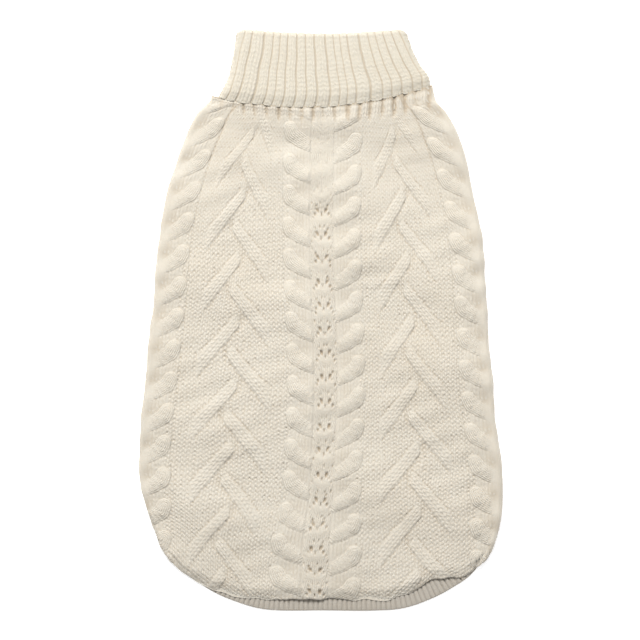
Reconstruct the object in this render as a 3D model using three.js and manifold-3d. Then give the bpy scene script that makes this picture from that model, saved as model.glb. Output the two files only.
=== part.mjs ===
// A small dog's cable-knit sweater laid flat on its belly, back panel up, in millimetres.
// X runs across the garment, Y towards the neck, Z up from the surface it rests on.
// The knitted back wraps round both sides and is seamed to a plain belly panel underneath.
import * as THREE from "three";
import { mergeVertices } from "three/addons/utils/BufferGeometryUtils.js";
import Module from "manifold-3d";

// Driving sizes of the cloth
const wall = 2.4; // thickness of the knitted panels
const seamGap = 0.4; // space left between two pieces at a seam
const topHeight = 5.6; // upper face of the back panel where it lies on the belly panel
const tailHeight = 5.2; // the same in the tail, past the belly panel
const turnUnder = 9; // how far the back wraps in under the sides, to the side seam
const sideY = { neck: 136, hem: -151 }; // where the side outline starts and ends
const neckDip = 8.9; // how much lower the neckline is at the middle than at the sides
const bellyHemY = -110; // lower edge of the belly panel
const neck = { x: 1.5, half: 69.5 }; // middle and half width of the neckline
const neckLift = 3; // the collar raises the neck this far off the surface

// Half widths of the body at heights along it, left and right of the middle
const outline = [
  { y: 136, left: 68, right: 70.5 },
  { y: 129, left: 75, right: 77 },
  { y: 118, left: 80.5, right: 82.5 },
  { y: 93, left: 90, right: 91 },
  { y: 56, left: 98.5, right: 98.5 },
  { y: 6, left: 103.5, right: 103 },
  { y: -43, left: 108.5, right: 106.5 },
  { y: -81, left: 112.2, right: 110.5 },
  { y: -99, left: 111.5, right: 112.3 },
  { y: -118, left: 106.5, right: 112 },
  { y: -130, left: 102.3, right: 110 },
  { y: -143, left: 97, right: 105.8 },
  { y: -151, left: 91.6, right: 101 },
];

// Where the middle column of the knit wanders to
const middleLine = [
  { y: 136, x: 2.3 },
  { y: 53, x: 1 },
  { y: -35, x: 3.7 },
  { y: -80, x: 2.2 },
  { y: -112, x: 0.5 },
  { y: -141, x: -2.5 },
  { y: -175, x: -3.4 },
];

// Lower edge of the back panel, from its left side round to its right
const hemEdge = [
  { x: -91.6, y: -151 },
  { x: -83, y: -158.8 },
  { x: -74, y: -164 },
  { x: -60, y: -170 },
  { x: -40, y: -173.2 },
  { x: 6, y: -173 },
  { x: 42, y: -173.8 },
  { x: 57, y: -169 },
  { x: 68, y: -162.3 },
  { x: 78, y: -160.4 },
  { x: 90, y: -159 },
  { x: 101, y: -151 },
];

// Knit columns: widths across, repeats along, and how far each stands out
const repeat = 19.68; // one crossing of a cable, along Y
const edgeCableWidth = 19.5;
const middleCable = { centre: 15.5, half: 7.7 };
const cableRise = 2.2;
const cableSweep = 0.3; // share of a repeat that a strand drops from the middle to the side
const notch = 0.22; // share of the half width that the outline dips in at a crease
const barRise = 1.6;
const barRepeat = 2 * repeat;
const barFirstY = 1.9; // upper end of one left-leaning bar
const barReach = { from: -0.12, to: 0.66 }; // share of the half field that a bar crosses
// From left to right: where a crease between two strands lies, and which way they lean
const cables = [
  { creaseY: 6, lean: -1 },
  { creaseY: 5.5, lean: 1 },
  { creaseY: -1.7, lean: -1 },
  { creaseY: -4.5, lean: 1 },
];

const clamp = (value, low, high) => Math.min(high, Math.max(low, value));
const fraction = (value) => value - Math.floor(value);
const smooth = (value) => {
  const t = clamp(value, 0, 1);
  return t * t * (3 - 2 * t);
};

// A smooth curve through a table's rows: its column where its key (y, or x) has this value
function along(table, column, value, key = "y") {
  const last = table.length - 1;
  const falls = table[0][key] > table[last][key];
  const found = table.findIndex((row) => (falls ? row[key] <= value : row[key] >= value));
  const i = clamp(found === -1 ? last : found, 1, last);
  const [a, b] = [table[i - 1], table[i]];
  const [before, after] = [table[Math.max(i - 2, 0)], table[Math.min(i + 1, last)]];
  const span = b[key] - a[key];
  const t = clamp((value - a[key]) / span, 0, 1);
  const slopeA = ((b[column] - before[column]) / (b[key] - before[key])) * span;
  const slopeB = ((after[column] - a[column]) / (after[key] - a[key])) * span;
  const [t2, t3] = [t * t, t * t * t];
  return (
    (2 * t3 - 3 * t2 + 1) * a[column] +
    (t3 - 2 * t2 + t) * slopeA +
    (-2 * t3 + 3 * t2) * b[column] +
    (t3 - t2) * slopeB
  );
}

// The knit runs straight on where the outline rounds in to the hem
const straightBelowY = -97;
const knitEdge = (side, y) => along(outline, side, Math.max(y, straightBelowY));
const middleX = (y) => along(middleLine, "x", y);

// Height of a rope cable at lateral place q (-1 to 1) and height y. Its strands lie like
// leaves, each coming out from under the last one and sweeping across
function ropeHeight(q, y, cable) {
  const place = clamp(-cable.lean * q, -1, 1);
  const turn = (cable.creaseY - y) / repeat;
  const bend = Math.asin(0.93 * place) / Math.asin(0.93);
  const share = fraction(turn + cableSweep * bend);
  const crest = (1 - Math.abs(2 * share - 1) ** 2.2) ** 0.55;
  const over = 1 + 0.5 * place * (2 * share - 1);
  const bulge = 0.5 + 0.5 * Math.cos(2 * Math.PI * (turn + Math.sign(place) * 0.8 * cableSweep));
  const side = Math.min(1, Math.abs(place) / (1 - notch * bulge));
  return cableRise * (0.22 + 0.78 * crest * over) * Math.sqrt(1 - side ** 4);
}

// Height of the slanting bars at share f (-1 to 1) across a field and height y
function barHeight(f, y) {
  let height = 0;
  for (const lean of [-1, 1]) {
    const reach = lean * f;
    const down = clamp((reach - barReach.from) / (barReach.to - barReach.from), 0, 1);
    const ends = smooth((reach - barReach.from) / 0.09) * smooth((barReach.to - reach) / 0.3);
    const lineY = barFirstY - (lean > 0 ? repeat : 0) - barRepeat * (reach - barReach.from);
    const away = Math.abs(fraction((y - lineY) / barRepeat + 0.5) - 0.5) * barRepeat;
    const half = 5.6 + 1.8 * down ** 2;
    const crest = Math.max(0, 1 - (away / half) ** (3 - down));
    height = Math.max(height, barRise * ends * crest);
  }
  return height * smooth((128 - y) / 14);
}

// How far the knit stands out of the back panel's plain face at (x, y)
function relief(x, y) {
  const side = x < middleX(y) ? "left" : "right";
  const sign = side === "left" ? -1 : 1;
  const fromMiddle = (x - middleX(y)) * sign;
  const fromEdge = knitEdge(side, y) - x * sign;
  const spread = 1 + 0.17 * smooth((-100 - y) / 45);
  const cableOuter = (middleCable.centre + middleCable.half) * spread;
  if (fromEdge < edgeCableWidth) {
    const q = sign * (1 - (2 * fromEdge) / edgeCableWidth);
    return ropeHeight(q, y, cables[sign < 0 ? 0 : 3]) * smooth(fromEdge / 5);
  }
  if (fromMiddle < cableOuter) {
    const q = (sign * (fromMiddle / spread - middleCable.centre)) / middleCable.half;
    return Math.abs(q) < 1 ? ropeHeight(q, y, cables[sign < 0 ? 1 : 2]) : 0;
  }
  const fieldWidth = knitEdge(side, y) - sign * middleX(y) - edgeCableWidth - cableOuter;
  const share = ((fromMiddle - cableOuter) / fieldWidth) * 2 - 1;
  return barHeight(sign * share, y);
}

// Share of the neck's dip at place x across it
const neckCurve = (x) => 1 - Math.min(1, Math.abs(x - neck.x) / neck.half) ** 2;

// Rows of a panel dip in the middle near the neck and near the hem
function rowY(y, x) {
  const nearNeck = smooth(1 - (sideY.neck - y) / 38);
  const nearHem = smooth(1 - (y - sideY.hem) / 52);
  const hemDrop = along(hemEdge, "y", x, "x") - sideY.hem;
  return y - neckDip * nearNeck * neckCurve(x) + hemDrop * nearHem;
}

const lift = (y) => neckLift * smooth((y - 108) / (sideY.neck - 108));
const upperFace = (y) => topHeight + lift(y) - (topHeight - tailHeight) * smooth((-112 - y) / 30);

// Turns rows of outer points and rows of inner points into one closed wall
function closedWall(outer, inner, leans) {
  const positions = [];
  const indices = [];
  const number = (rows) => rows.map((row) => row.map((p) => positions.push(...p) / 3 - 1));
  const [top, low] = [number(outer), number(inner)];
  const quad = (a, b, c, d, rising) => {
    if (rising) indices.push(a, b, d, b, c, d);
    else indices.push(a, b, c, a, c, d);
  };
  for (let r = 0; r + 1 < top.length; r++)
    for (let c = 0; c + 1 < top[r].length; c++)
      quad(top[r][c], top[r + 1][c], top[r + 1][c + 1], top[r][c + 1], leans && leans[c] < 0);
  for (let r = 0; r + 1 < low.length; r++)
    for (let c = 0; c + 1 < low[r].length; c++)
      quad(low[r][c + 1], low[r + 1][c + 1], low[r + 1][c], low[r][c], false);
  const side = (rows, at) => rows.map((row) => row.at(at));
  zip(top[0], low[0], positions, indices, false);
  zip(top.at(-1), low.at(-1), positions, indices, true);
  zip(side(top, 0), side(low, 0), positions, indices, true);
  zip(side(top, -1), side(low, -1), positions, indices, false);
  return geometryOf(positions, indices);
}

// Closes the edge between two rows of points, always across the shorter way
function zip(a, b, positions, indices, flip) {
  const apart = (p, q) =>
    Math.hypot(...[0, 1, 2].map((axis) => positions[3 * p + axis] - positions[3 * q + axis]));
  let [i, j] = [0, 0];
  while (i < a.length - 1 || j < b.length - 1) {
    const lastA = i === a.length - 1;
    const lastB = j === b.length - 1;
    const stepA = lastB || (!lastA && apart(a[i + 1], b[j]) < apart(a[i], b[j + 1]));
    const triangle = stepA ? [a[i], a[i + 1], b[j]] : [a[i], b[j + 1], b[j]];
    if (stepA) i++;
    else j++;
    indices.push(...(flip ? [triangle[0], triangle[2], triangle[1]] : triangle));
  }
}

// Joins closed loops of equal length, each to the next and the last to the first
function loopedWall(loops) {
  const count = loops[0].length;
  const positions = loops.flat(2);
  const indices = [];
  loops.forEach((loop, r) => {
    const next = (r + 1) % loops.length;
    for (let c = 0; c < count; c++) {
      const d = (c + 1) % count;
      const [p, q, s, t] = [r * count + c, next * count + c, next * count + d, r * count + d];
      indices.push(p, q, s, p, s, t);
    }
  });
  return geometryOf(positions, indices);
}

function geometryOf(positions, indices) {
  const geometry = new THREE.BufferGeometry();
  geometry.setAttribute("position", new THREE.Float32BufferAttribute(positions, 3));
  geometry.setIndex(indices);
  return geometry;
}

// Shares of each side's width, from the side fold in to the middle, at which the back has columns
const foldSteps = [1, 0.8, 0.6, 0.4, 0.2];
const edgeCableSteps = [5.6, 10, 14.6, edgeCableWidth];
const fieldSteps = Array.from({ length: 15 }, (_, i) => (i + 1) / 16);
const middleCableSteps = [1, 0.5, 0, -0.5, -1];
const laceStep = 4;

// One row of the back panel: points round the fold and across the top, on either face
function backRow(y, face) {
  const height = upperFace(y);
  const under = lift(y);
  const radius = (height - under) / 2;
  const wrapped = smooth((y - bellyHemY + 1) / 12); // the wrap ends at the belly's hem
  const foldAngle = Math.PI * (0.5 + 0.5 * wrapped);
  const tuck = (turnUnder - radius) * wrapped;
  const hemLip = 1.1 * smooth(1 - (y - sideY.hem) / 6);
  const fade = smooth((sideY.neck - y) / 9) * (0.35 + 0.65 * smooth((y - sideY.hem) / 7));
  const inset = face === "outer" ? 0 : wall;
  const points = [];
  const place = (x, z, nx, nz, raised) => {
    const out = (face === "outer" ? raised : 0) - inset;
    points.push([x + nx * out, rowY(y, x + nx * out), z + nz * out]);
  };
  const half = (side) => {
    const sign = side === "left" ? -1 : 1;
    const edge = along(outline, side, y);
    const centre = { x: edge - radius, z: height - radius };
    const list = [];
    const end = {
      x: centre.x + radius * Math.sin(foldAngle),
      z: centre.z + radius * Math.cos(foldAngle),
    };
    list.push([end.x - tuck, end.z - 0.3 * (1 - wrapped), foldAngle, 0]);
    const steps = face === "outer" ? foldSteps : [1, 0.5];
    for (const share of steps) {
      const angle = foldAngle * share;
      const stand = share < 0.7 ? 0.55 + 0.45 * (1 - share) : 0;
      const x = centre.x + radius * Math.sin(angle);
      list.push([x, centre.z + radius * Math.cos(angle), angle, stand]);
    }
    const cableOuter = middleCable.centre + middleCable.half;
    const mid = sign * middleX(y);
    const fieldFrom = edge - edgeCableWidth;
    const fieldTo = mid + cableOuter;
    const across = [];
    if (face === "outer") {
      across.push(...edgeCableSteps.map((step) => edge - step));
      across.push(...fieldSteps.map((share) => fieldFrom + (fieldTo - fieldFrom) * share));
      across.push(...middleCableSteps.map((q) => mid + middleCable.centre + q * middleCable.half));
      across.push(mid + laceStep);
    } else {
      across.push(centre.x, fieldFrom);
      across.push(...[0.25, 0.5, 0.75, 1].map((share) => fieldFrom + (fieldTo - fieldFrom) * share));
      across.push(mid + middleCable.centre / 2);
    }
    for (const x of across) list.push([x, height, 0, 1]);
    return list.map(([x, z, angle, stand]) => [sign * x, z, sign * Math.sin(angle), Math.cos(angle), stand]);
  };
  const write = ([x, z, nx, nz, stand]) => {
    const raised = stand * fade * relief(x, rowY(y, x));
    place(x, nz > 0.99 ? z - hemLip * (face === "outer" ? 1 : 0.25) : z, nx, nz, raised);
  };
  half("left").forEach(write);
  write([middleX(y), height, 0, 1, 1]);
  half("right").reverse().forEach(write);
  return points;
}

// Row heights: a steady step, halved where the rows spread apart over the rounded tail
const rowStep = barRepeat / 8;
function rowHeights() {
  const heights = [sideY.neck, sideY.neck - 2.2];
  const first = Math.floor((sideY.neck - 5 - barFirstY) / rowStep);
  for (let k = first; barFirstY + k * rowStep > sideY.hem + 2.5; k--) {
    const y = barFirstY + k * rowStep;
    heights.push(y);
    if (y < -118 && y - rowStep / 2 > sideY.hem + 2.5) heights.push(y - rowStep / 2);
  }
  heights.push(sideY.hem + 1.2, sideY.hem);
  return heights;
}

// The plain faces take every third row, and all of them where the panels bend
function plainHeights() {
  const bends = (y) => y > 90 || Math.abs(y - bellyHemY) < 18 || y < sideY.hem + 4;
  return rowHeights().filter((y, i) => bends(y) || i % 3 === 0);
}

// Each cell of the field is split along the slant of the bars that cross it
function columnLeans() {
  const leans = [];
  const half = foldSteps.length + edgeCableSteps.length + 1;
  const halfField = (fieldSteps.length + 1) / 2;
  const lean = (count, value) => leans.push(...Array(count).fill(value));
  lean(half - 1 + halfField, -1);
  lean(halfField + middleCableSteps.length + 1, 1);
  lean(middleCableSteps.length + 1 + halfField, -1);
  lean(halfField + half - 1, 1);
  return leans;
}

function makeBackPanel() {
  const heights = rowHeights();
  const outer = heights.map((y) => backRow(y, "outer"));
  const inner = plainHeights().map((y) => backRow(y, "inner"));
  return closedWall(outer, inner, columnLeans());
}

// Collar: a ribbed tube from the neck seam up to a fold, and back down outside as a cuff
const ribWall = 2.2;
const cuffGap = 0.4;
const ribRise = 0.9;
const collar = {
  hollow: 0.7, // half the gap left between the tube's two layers at the neck
  ribsAcross: 18, // ribs over each flat side
  ribsAtEnd: 2, // ribs round each side fold
  seamY: sideY.neck + seamGap,
  topY: 183.2,
  topDip: 5.6,
  cornerDrop: 2.2, // the fold's two corners are rounded off
  cuffEdgeY: 142,
  cuffDip: 9.9,
  cuffTilt: 0.05, // the cuff hangs lower on the left
  edgeThin: 0.9, // the cuff thins out towards its edge
};
const cuffOffset = 2 * ribWall + cuffGap;
const ribCrest = 0.45 * ribRise;
const ribGroove = -0.55 * ribRise;
const collarCentreZ = collar.hollow + cuffOffset + ribCrest;

// Middle and half width of the collar's outline by height, from the fold to the seam
const collarWidths = [
  { y: 181, middle: 1.2, half: 53 },
  { y: 176, middle: 1.5, half: 53.6 },
  { y: 170, middle: 1.9, half: 54.9 },
  { y: 162, middle: 2.7, half: 57.4 },
  { y: 155, middle: 3.4, half: 60 },
  { y: 148, middle: 3.7, half: 63.8 },
  { y: 143, middle: 2.8, half: 66.9 },
  { y: 136, middle: 1.5, half: 69.5 },
  { y: 125, middle: 1.5, half: 74 },
];

// Places round a flattened tube: along the flat sides and round the end folds
function collarLoop(offset, y, dip, rise, tilt = 0) {
  const radius = collar.hollow + offset;
  const half = along(collarWidths, "half", y) - radius - (cuffOffset - offset) * 0.9;
  const middle = along(collarWidths, "middle", y);
  const nearFold = smooth((y - collar.topY + cuffOffset / 2 + 8) / 8);
  const loop = [];
  const point = (x, nx, nz, ribPhase) => {
    const out = radius + rise * (ribPhase === 0 ? ribGroove : ribCrest);
    const px = middle + x + nx * out;
    const corner = nearFold * clamp((Math.abs(px - middle) - (half + radius - 6)) / 6, 0, 1) ** 2;
    const py = y - dip * neckCurve(px) + tilt * px - collar.cornerDrop * corner;
    loop.push([px, py, collarCentreZ + nz * out]);
  };
  const flatCount = collar.ribsAcross * 3;
  const endCount = collar.ribsAtEnd * 3;
  for (const sign of [1, -1]) {
    for (let i = 0; i < flatCount; i++)
      point(sign * half * ((2 * (i + 0.5)) / flatCount - 1), 0, sign, i % 3);
    for (let i = 0; i < endCount; i++) {
      const angle = (Math.PI * (i + 0.5)) / endCount;
      point(sign * half, sign * Math.sin(angle), sign * Math.cos(angle), i % 3);
    }
  }
  return loop;
}

function makeCollar() {
  const { seamY, topY, topDip, cuffEdgeY, cuffDip, cuffTilt, edgeThin } = collar;
  const foldRadius = cuffOffset / 2;
  const foldY = topY - foldRadius;
  const loops = [];
  const add = (offset, y, dip, rise, tilt) => loops.push(collarLoop(offset, y, dip, rise, tilt));
  add(0, seamY, neckDip, 0);
  add(0, 158, neckDip * 0.5, 0);
  add(0, foldY, topDip, 0);
  for (const share of [0.25, 0.5, 0.75]) {
    const angle = Math.PI * share;
    const offset = foldRadius - foldRadius * Math.cos(angle);
    add(offset, foldY + foldRadius * Math.sin(angle), topDip, share);
  }
  add(cuffOffset, foldY, topDip, 1);
  add(cuffOffset, 162, topDip + 2, 1, cuffTilt * 0.5);
  add(cuffOffset, cuffEdgeY + 7, cuffDip * 0.8, 1, cuffTilt);
  add(cuffOffset - edgeThin, cuffEdgeY + 0.8, cuffDip, 1, cuffTilt);
  add(cuffOffset - (ribWall + edgeThin) / 2, cuffEdgeY, cuffDip, 0.6, cuffTilt);
  add(ribWall + cuffGap, cuffEdgeY + 0.8, cuffDip, 0, cuffTilt);
  add(ribWall + cuffGap, foldY - 1, topDip, 0);
  add(ribWall, foldY - 1, topDip, 0);
  add(ribWall, 147, neckDip * 0.8, 0);
  add(ribWall, seamY + 4, neckDip, 0.8);
  add(ribWall, seamY, neckDip, 0.8);
  return loopedWall(loops);
}

// Belly panel: one flat layer inside the back's turned-under edges, with two leg openings
const legHole = { x: 50, y: 83, halfWidth: 19.3, halfLength: 27.3, bandWidth: 6.3 };

function bellyRow(y, face) {
  const reach = turnUnder + seamGap;
  const [left, right] = [-along(outline, "left", y) + reach, along(outline, "right", y) - reach];
  const nearNeck = smooth(1 - (sideY.neck - y) / 38);
  const steps = 10;
  const z = lift(y) + (face === "outer" ? wall : 0);
  return Array.from({ length: steps + 1 }, (_, i) => {
    const x = left + ((right - left) * i) / steps;
    return [x, y - neckDip * nearNeck * neckCurve(x), z];
  });
}

function makeBellyPanel(wasm) {
  const heights = [...plainHeights().filter((y) => y > bellyHemY + 1), bellyHemY];
  const plain = closedWall(
    heights.map((y) => bellyRow(y, "outer")),
    heights.map((y) => bellyRow(y, "inner")),
  );
  let panel = manifoldOf(wasm, plain);
  for (const side of [-1, 1]) {
    const cutter = new THREE.CylinderGeometry(1, 1, 20, 36);
    cutter.rotateX(Math.PI / 2);
    cutter.scale(legHole.halfWidth, legHole.halfLength, 1);
    cutter.translate(side * legHole.x, legHole.y, 0);
    panel = panel.subtract(manifoldOf(wasm, cutter));
  }
  return geometryFrom(panel);
}

function manifoldOf(wasm, geometry) {
  const bare = geometry.clone();
  bare.deleteAttribute("normal");
  bare.deleteAttribute("uv");
  const merged = mergeVertices(bare, 1e-4);
  return new wasm.Manifold(
    new wasm.Mesh({
      numProp: 3,
      vertProperties: merged.attributes.position.array,
      triVerts: new Uint32Array(merged.index.array),
    }),
  );
}

function geometryFrom(manifold) {
  const mesh = manifold.getMesh();
  return geometryOf(Array.from(mesh.vertProperties), Array.from(mesh.triVerts));
}

// Leg band: a flat knitted ring that finishes one leg opening
function makeLegBand(side) {
  const { x, y, halfWidth, halfLength, bandWidth } = legHole;
  const shape = new THREE.Shape();
  const outer = [halfWidth - seamGap, halfLength - seamGap];
  shape.absellipse(side * x, y, ...outer, 0, 2 * Math.PI, false, 0);
  const opening = new THREE.Path();
  opening.absellipse(side * x, y, outer[0] - bandWidth, outer[1] - bandWidth, 0, 2 * Math.PI, true, 0);
  shape.holes.push(opening);
  return new THREE.ExtrudeGeometry(shape, { depth: 2, bevelEnabled: false, curveSegments: 18 });
}

// Hem band: one narrow ribbed strip round the tail and across the belly's lower edge
const hemBand = { halfWidth: 6.1, thickness: 2, ribPitch: 3, ribRise: 0.5, plainAboveY: -119.5 };
const bandLine = [
  { x: -94, y: -124 },
  { x: -91, y: -138 },
  { x: -80, y: -151 },
  { x: -64.8, y: -162.3 },
  { x: -50.4, y: -169.3 },
  { x: -34, y: -174 },
  { x: 4, y: -174.7 },
  { x: 34, y: -174.3 },
  { x: 50, y: -172.8 },
  { x: 68.5, y: -166.3 },
  { x: 80, y: -161 },
  { x: 89, y: -154.8 },
  { x: 95.5, y: -146.5 },
  { x: 99, y: -134 },
  { x: 97, y: -124 },
  { x: 90, y: -118.6 },
  { x: 78, y: -117 },
  { x: 0, y: -116.7 },
  { x: -75, y: -117 },
  { x: -87, y: -118.6 },
];

function makeHemBand() {
  const points = bandLine.map(({ x, y }) => new THREE.Vector3(x, y, 0));
  const line = new THREE.CatmullRomCurve3(points, true, "centripetal");
  line.arcLengthDivisions = 1200;
  const count = 2 * Math.round(line.getLength() / hemBand.ribPitch);
  const loops = [[], [], [], []];
  for (let i = 0; i < count; i++) {
    const at = line.getPointAt(i / count);
    const way = line.getTangentAt(i / count);
    const hidden = at.y > hemBand.plainAboveY; // the run across the belly is plain
    if (hidden && i % 10) continue;
    const groove = hidden ? 0 : (i % 2) * hemBand.ribRise;
    const [nx, ny] = [way.y, -way.x];
    const half = hemBand.halfWidth;
    const top = hemBand.thickness - groove;
    loops[0].push([at.x - nx * half, at.y - ny * half, 0]);
    loops[1].push([at.x - nx * half, at.y - ny * half, top]);
    loops[2].push([at.x + nx * half, at.y + ny * half, top]);
    loops[3].push([at.x + nx * half, at.y + ny * half, 0]);
  }
  return loopedWall(loops);
}

const knitCream = new THREE.MeshStandardMaterial({ color: 0xe9e0cc, roughness: 0.95, metalness: 0 });
const ribCream = new THREE.MeshStandardMaterial({ color: 0xebe3d1, roughness: 0.95, metalness: 0 });
const bandCream = new THREE.MeshStandardMaterial({ color: 0xd9d0be, roughness: 0.95, metalness: 0 });

const wasm = await Module();
wasm.setup();

const sweater = new THREE.Group();
sweater.name = "dog_sweater";

function addPiece(name, geometry, material) {
  const mesh = new THREE.Mesh(geometry, material);
  mesh.name = name;
  sweater.add(mesh);
}

addPiece("back_panel", makeBackPanel(), knitCream);
addPiece("belly_panel", makeBellyPanel(wasm), knitCream);
addPiece("collar", makeCollar(), ribCream);
addPiece("hem_band", makeHemBand(), bandCream);
addPiece("leg_band_left", makeLegBand(-1), ribCream);
addPiece("leg_band_right", makeLegBand(1), ribCream);

// The origin is the middle of the footprint
const middle = new THREE.Box3().setFromObject(sweater).getCenter(new THREE.Vector3());
for (const piece of sweater.children) piece.geometry.translate(-middle.x, -middle.y, 0);

export default sweater;
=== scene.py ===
import math

import bpy
import numpy as np
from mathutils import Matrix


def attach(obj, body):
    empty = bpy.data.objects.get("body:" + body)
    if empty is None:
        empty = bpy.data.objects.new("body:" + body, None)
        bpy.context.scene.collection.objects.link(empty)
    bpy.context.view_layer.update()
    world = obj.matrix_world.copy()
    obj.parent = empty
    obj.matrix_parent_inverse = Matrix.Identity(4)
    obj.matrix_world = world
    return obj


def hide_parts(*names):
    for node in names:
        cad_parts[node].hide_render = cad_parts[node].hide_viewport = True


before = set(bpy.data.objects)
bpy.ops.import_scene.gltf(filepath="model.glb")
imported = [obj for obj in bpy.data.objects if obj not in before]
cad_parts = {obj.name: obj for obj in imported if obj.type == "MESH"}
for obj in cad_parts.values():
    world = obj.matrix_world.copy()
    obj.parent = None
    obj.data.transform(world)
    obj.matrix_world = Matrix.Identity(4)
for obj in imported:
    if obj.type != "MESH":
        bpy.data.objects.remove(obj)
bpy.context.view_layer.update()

mm = 0.001
shift = np.array([-0.098, 0.507, 0.0])  # the frame's origin is the middle of the footprint

# Sizes are in millimetres, as on the knitter's chart, until a mesh is made.

body = {
    "wall": 2.4, "topHeight": 5.6, "tailHeight": 5.2, "turnUnder": 9.0,
    "neckY": 136.0, "hemY": -151.0, "neckDip": 8.9, "neckX": 1.5, "neckHalf": 69.5,
    "neckLift": 3.0, "underCuff": 5.0, "bellyHemY": -110.0, "seamGap": 0.4,
    # how far the bends of the neck and the hem reach into the rows, and where the heights change
    "neckReach": 38, "hemReach": 52, "liftFromY": 108, "tail": (-112, 30),
    # below this height the sides round off towards the hem and the rows are finer
    "tailY": -97,
    # height along the body, half width to the left, half width to the right
    "outline": [
        (141, 66.9, 68.8), (136, 68, 70.5), (129, 75, 77), (118, 80.5, 82.5), (93, 90, 91),
        (56, 98.5, 98.5), (6, 103.5, 103), (-43, 108.5, 106.5), (-81, 112.2, 110.5), (-99, 111.5, 112.3),
        (-118, 106.5, 112), (-130, 102.3, 110), (-143, 97, 105.8), (-151, 91.6, 101),
    ],
    # height, where the middle column runs
    "middle": [(136, 2.3), (53, 1), (-35, 3.7), (-80, 2.2), (-112, 0.5), (-141, -2.5), (-175, -3.4)],
    # place across, height of the lower edge
    "hem": [
        (-91.6, -151), (-83, -158.8), (-74, -164), (-60, -170), (-40, -173.2), (6, -173),
        (42, -173.8), (57, -169), (68, -162.3), (78, -160.4), (90, -159), (101, -151),
    ],
}

pattern = {
    "repeat": 19.68, "edgeWidth": 19.5, "cableCentre": 15.5, "cableHalf": 8.9,
    "fieldWales": 19, "course": 2.68,
    # the columns spread by this share towards the tail
    "spread": 0.17, "spreadFrom": (-100, 45),
    # crease height and lean of each rope cable, from left to right; the outer two are the edge cables
    "cables": [(7.8, -1), (5.5, 1), (-1.7, -1), (-4.5, 1)], "edgeCables": (0, 3),
}


def smooth(value):
    t = np.clip(value, 0, 1)
    return t * t * (3 - 2 * t)


def below(y, start):
    # 0 above a height, then rising to 1 over a length: start holds both
    return smooth((start[0] - y) / start[1])


def above(y, start):
    return smooth((y - start[0]) / start[1])


def hermite(t, a, slopeA, b, slopeB):
    return ((2 * t**3 - 3 * t**2 + 1) * a + (t**3 - 2 * t**2 + t) * slopeA
            + (3 * t**2 - 2 * t**3) * b + (t**3 - t**2) * slopeB)


def readTable(rows, column, value):
    rows = np.asarray(rows, float)
    if rows[0, 0] > rows[-1, 0]:
        rows = rows[::-1]
    keys, values, last = rows[:, 0], rows[:, column], len(rows) - 1
    b = np.clip(np.searchsorted(keys, value), 1, last)
    a = b - 1
    before, after = np.maximum(a - 1, 0), np.minimum(b + 1, last)
    span = keys[b] - keys[a]
    t = np.clip((value - keys[a]) / span, 0, 1)
    slopeA = (values[b] - values[before]) / (keys[b] - keys[before]) * span
    slopeB = (values[after] - values[a]) / (keys[after] - keys[a]) * span
    return hermite(t, values[a], slopeA, values[b], slopeB)


def ripple(x, y, seed, size):
    # slow unevenness of hand-laid cloth, about -1 to 1: six waves in random directions
    rng = np.random.default_rng(seed)
    total = 0
    for _ in range(6):
        angle, phase = rng.uniform(0, 2 * math.pi, 2)
        wave = size * rng.uniform(0.6, 1.6)
        total = total + np.sin((x * math.cos(angle) + y * math.sin(angle)) * 2 * math.pi / wave + phase)
    return total / 3.4


def perStitch(i, j, seed):
    # an even spread of values from 0 to 1, the same each time for one stitch
    value = np.sin(i * 12.9898 + j * 78.233 + seed * 37.719) * 43758.5453
    return value - np.floor(value)


def spot(across, down=0.0):
    # 1 in the middle, falling off softly to 0
    return np.exp(-(across**2) - down**2)


def ribGroove(f, half):
    # f runs from 0 to 1 across a rib, and the grooves are at its ends
    return spot(np.minimum(f, 1 - f) / half)


# Stitches: each returns a height from about 0 in the pits to 1 on the crests

purls = {
    "wave": 0.25, "narrow": 2.04, "level": 0.66, "lobe": 0.34, "least": 0.72, "vary": 0.5,
    "pitHalf": 0.2, "pit": 0.15, "deepPit": 0.7, "limits": (-0.6, 1.3),
}
knits = {"plump": 0.7, "slant": 0.6, "cut": 0.3, "least": 0.84, "vary": 0.32}


def purlStitch(u, v):
    # wavy rows of bumps, two to a wale, with a pit of its own depth between four of them
    phase = v - purls["wave"] * np.cos(2 * np.pi * u)
    row = np.floor(phase)
    f = phase - row
    ridge = np.sqrt(np.clip(1 - (purls["narrow"] * (f - 0.5)) ** 2, 0, 1))
    lobe = purls["level"] + purls["lobe"] * np.cos(4 * np.pi * u)
    vary = purls["least"] + purls["vary"] * perStitch(np.floor(2 * u + 0.5), row, 3)
    hole = perStitch(np.floor(u + 0.5), np.floor(v + 0.5), 4)
    pit = ribGroove(f, purls["pitHalf"]) * np.clip(np.cos(2 * np.pi * u), 0, 1) ** 2
    depth = purls["pit"] + purls["deepPit"] * hole**3
    return np.clip(ridge * lobe * vary - depth * pit, *purls["limits"])


def knitStitch(c, v, cut=knits["cut"]):
    # columns of V stitches; cut says how far each stitch stands apart from the next
    wale = np.floor(c)
    side = np.abs(2 * (c - wale) - 1)
    leg = np.sin(np.pi * side) ** knits["plump"]
    phase = v - knits["slant"] * side
    segment = 0.5 + 0.5 * np.cos(2 * np.pi * phase)
    vary = knits["least"] + knits["vary"] * perStitch(wale, np.floor(phase + 0.5), 5)
    return leg * (1 - cut + cut * segment) * vary


# Rope cables: plump strands bent like hooks, each bulging out at one side, then running across

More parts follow.
